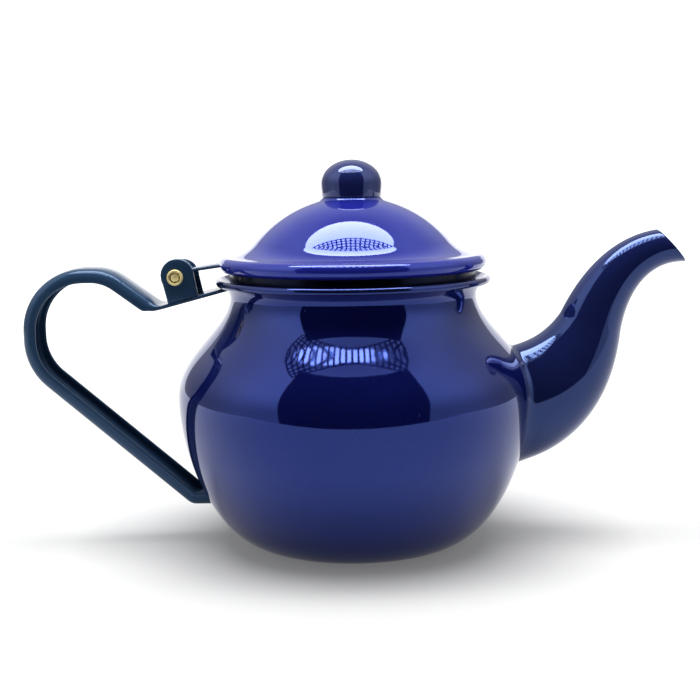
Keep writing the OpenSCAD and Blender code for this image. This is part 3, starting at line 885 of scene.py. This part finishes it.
def matt(name, value, glow=0.0):
    """Matt studio surface; glow lights it from within."""
    m = Nodes(name)
    col = m.mix(m.ramp(m.noise(3, 2), 0.3, 0.7), (value,) * 3, (value * 1.06,) * 3)
    m.link(col, m.bsdf.inputs["Base Color"])
    m.bsdf.inputs["Roughness"].default_value = 0.9
    m.bsdf.inputs["Specular IOR Level"].default_value = 0.02
    if glow:
        # painted light: the sweep glows from within, weakest close to the pot as a painted shadow round its
        # foot and stronger further out
        far = m.node("ShaderNodeVectorMath", operation="LENGTH")
        m.link(m.where, far.inputs[0])
        m.bsdf.inputs["Emission Color"].default_value = (1, 1, 1, 1)
        # painted shadow: the glow is lowest within about 5 cm of the pot's axis and rises out to 10 cm
        near = m.ramp(far.outputs["Value"], 0.045, 0.10, 0.14, glow + 0.06)
        rim = m.ramp(far.outputs["Value"], 0.2, 0.9, 0.0, 0.5)
        m.link(m.math("ADD", near, rim), m.bsdf.inputs["Emission Strength"])
    return m.mat


# the floor ends 30 cm in front of the pot's axis, and a black card stands behind the camera
back_foot, back_top = pt(1.3, 0), pt(1.3, 0.42)
sweep_path = spaced([pt(-0.305, 0)] + corner(pt(-0.3, 0), back_foot, back_top, 0.38, 4) + [back_top], 0.1)
rows = np.array([[[x, q[0] * 1000, q[1] * 1000] for x in np.linspace(-800, 800, 12)] for q in sweep_path])
sweep = grid("studio_sweep", rows, wrap_v=False, sharp=80)
sweep.data.materials.append(matt("studio_sweep", 0.30, 0.52))

rows = []
for k in range(11):
    row = []
    for u in np.linspace(-1, 1, 25):
        z = -0.6 + (2.25 + 1.45 * u * u) * k / 10
        row.append([1000 * u * (0.80 + 0.22 * max(z, 0)) - 20, -780, 1000 * z])
    rows.append(row)
card = grid("black_card", np.array(rows), wrap_v=False, sharp=80)
card.data.materials.append(matt("black_card", 0.008))


def softbox(name, x, y, z, w, h, radiance):
    """A level elliptical light facing down."""
    li = bpy.data.lights.new(name, "AREA")
    li.shape = "ELLIPSE"
    li.size, li.size_y = w, h
    li.energy = radiance * math.pi * math.pi / 4 * w * h
    ob = bpy.data.objects.new(name, li)
    bpy.context.scene.collection.objects.link(ob)
    ob.location = (x, y, z)
    return ob


softbox("softbox_top", -0.03, -0.03, 0.75, 0.76, 0.46, 12)

# an egg-crate grid hangs under the front half of the softbox
CRATE_LEFT, CRATE_RIGHT, CRATE_FRONT, CRATE_BACK, CRATE_Z = -430, 340, -262, -50, 742
crate = []
for i in range(21):
    x0, x1 = CRATE_LEFT + 38 * i - 7, CRATE_LEFT + 38 * i + 7
    crate.append([(x0, CRATE_FRONT, CRATE_Z), (x1, CRATE_FRONT, CRATE_Z),
                  (x1, CRATE_BACK, CRATE_Z), (x0, CRATE_BACK, CRATE_Z)])
for i in range(7):
    y0, y1, z = CRATE_FRONT + 33 * i, CRATE_FRONT + 33 * i + 12, CRATE_Z - 1
    crate.append([(CRATE_LEFT, y0, z), (CRATE_RIGHT, y0, z), (CRATE_RIGHT, y1, z), (CRATE_LEFT, y1, z)])
me = bpy.data.meshes.new("egg_crate")
me.from_pydata([tuple(c / 1000 for c in q) for bar in crate for q in bar], [],
               [tuple(range(4 * i, 4 * i + 4)) for i in range(len(crate))])
egg = bpy.data.objects.new("egg_crate", me)
bpy.context.scene.collection.objects.link(egg)
me.materials.append(matt("crate_black", 0.03))

# soft surround: bright at the sides and in front, dimmer overhead, behind and on the right
world = bpy.data.worlds.new("studio")
world.use_nodes = True
wt = world.node_tree
back = wt.nodes["Background"]
back.inputs[0].default_value = (0.97, 0.985, 1.0, 1)
co = wt.nodes.new("ShaderNodeTexCoord")
sep = wt.nodes.new("ShaderNodeSeparateXYZ")
wt.links.new(co.outputs["Generated"], sep.inputs[0])


def fade(sock, lo, hi, a, b):
    n = wt.nodes.new("ShaderNodeMapRange")
    n.interpolation_type = "SMOOTHSTEP"
    for key, v in (("From Min", lo), ("From Max", hi), ("To Min", a), ("To Max", b)):
        n.inputs[key].default_value = v
    wt.links.new(sep.outputs[sock], n.inputs["Value"])
    return n.outputs["Result"]


def times(a, b):
    n = wt.nodes.new("ShaderNodeMath")
    n.operation = "MULTIPLY"
    wt.links.new(a, n.inputs[0])
    wt.links.new(b, n.inputs[1])
    return n.outputs[0]


level = times(times(fade("Z", 0.05, 0.6, 0.75, 1.6), fade("Z", 0.8, 1.0, 1.0, 0.5)),
              times(fade("Y", -0.3, 0.5, 1.0, 0.45), fade("X", -0.8, 0.8, 1.05, 0.95)))
wt.links.new(level, back.inputs[1])
bpy.context.scene.world = world
bpy.context.scene.view_settings.view_transform = "Standard"

# camera: level with the top of the knob, 45 cm in front of the pot's axis, looking a little down
SENSOR = 36
FOCAL_IN_WIDTHS = 1301 / 700
CAMERA_AT = (-0.00138, -0.450, 0.1301)
cam_data = bpy.data.cameras.new("camera")
cam_data.sensor_width = SENSOR
cam_data.lens = FOCAL_IN_WIDTHS * SENSOR
cam = bpy.data.objects.new("camera", cam_data)
bpy.context.scene.collection.objects.link(cam)
cam.location = CAMERA_AT
pitch, roll = math.radians(8.07), math.radians(-0.917)
turn = Matrix.Rotation(math.pi / 2 - pitch, 3, "X") @ Matrix.Rotation(roll, 3, "Z")
cam.rotation_euler = turn.to_euler()
bpy.context.scene.camera = cam
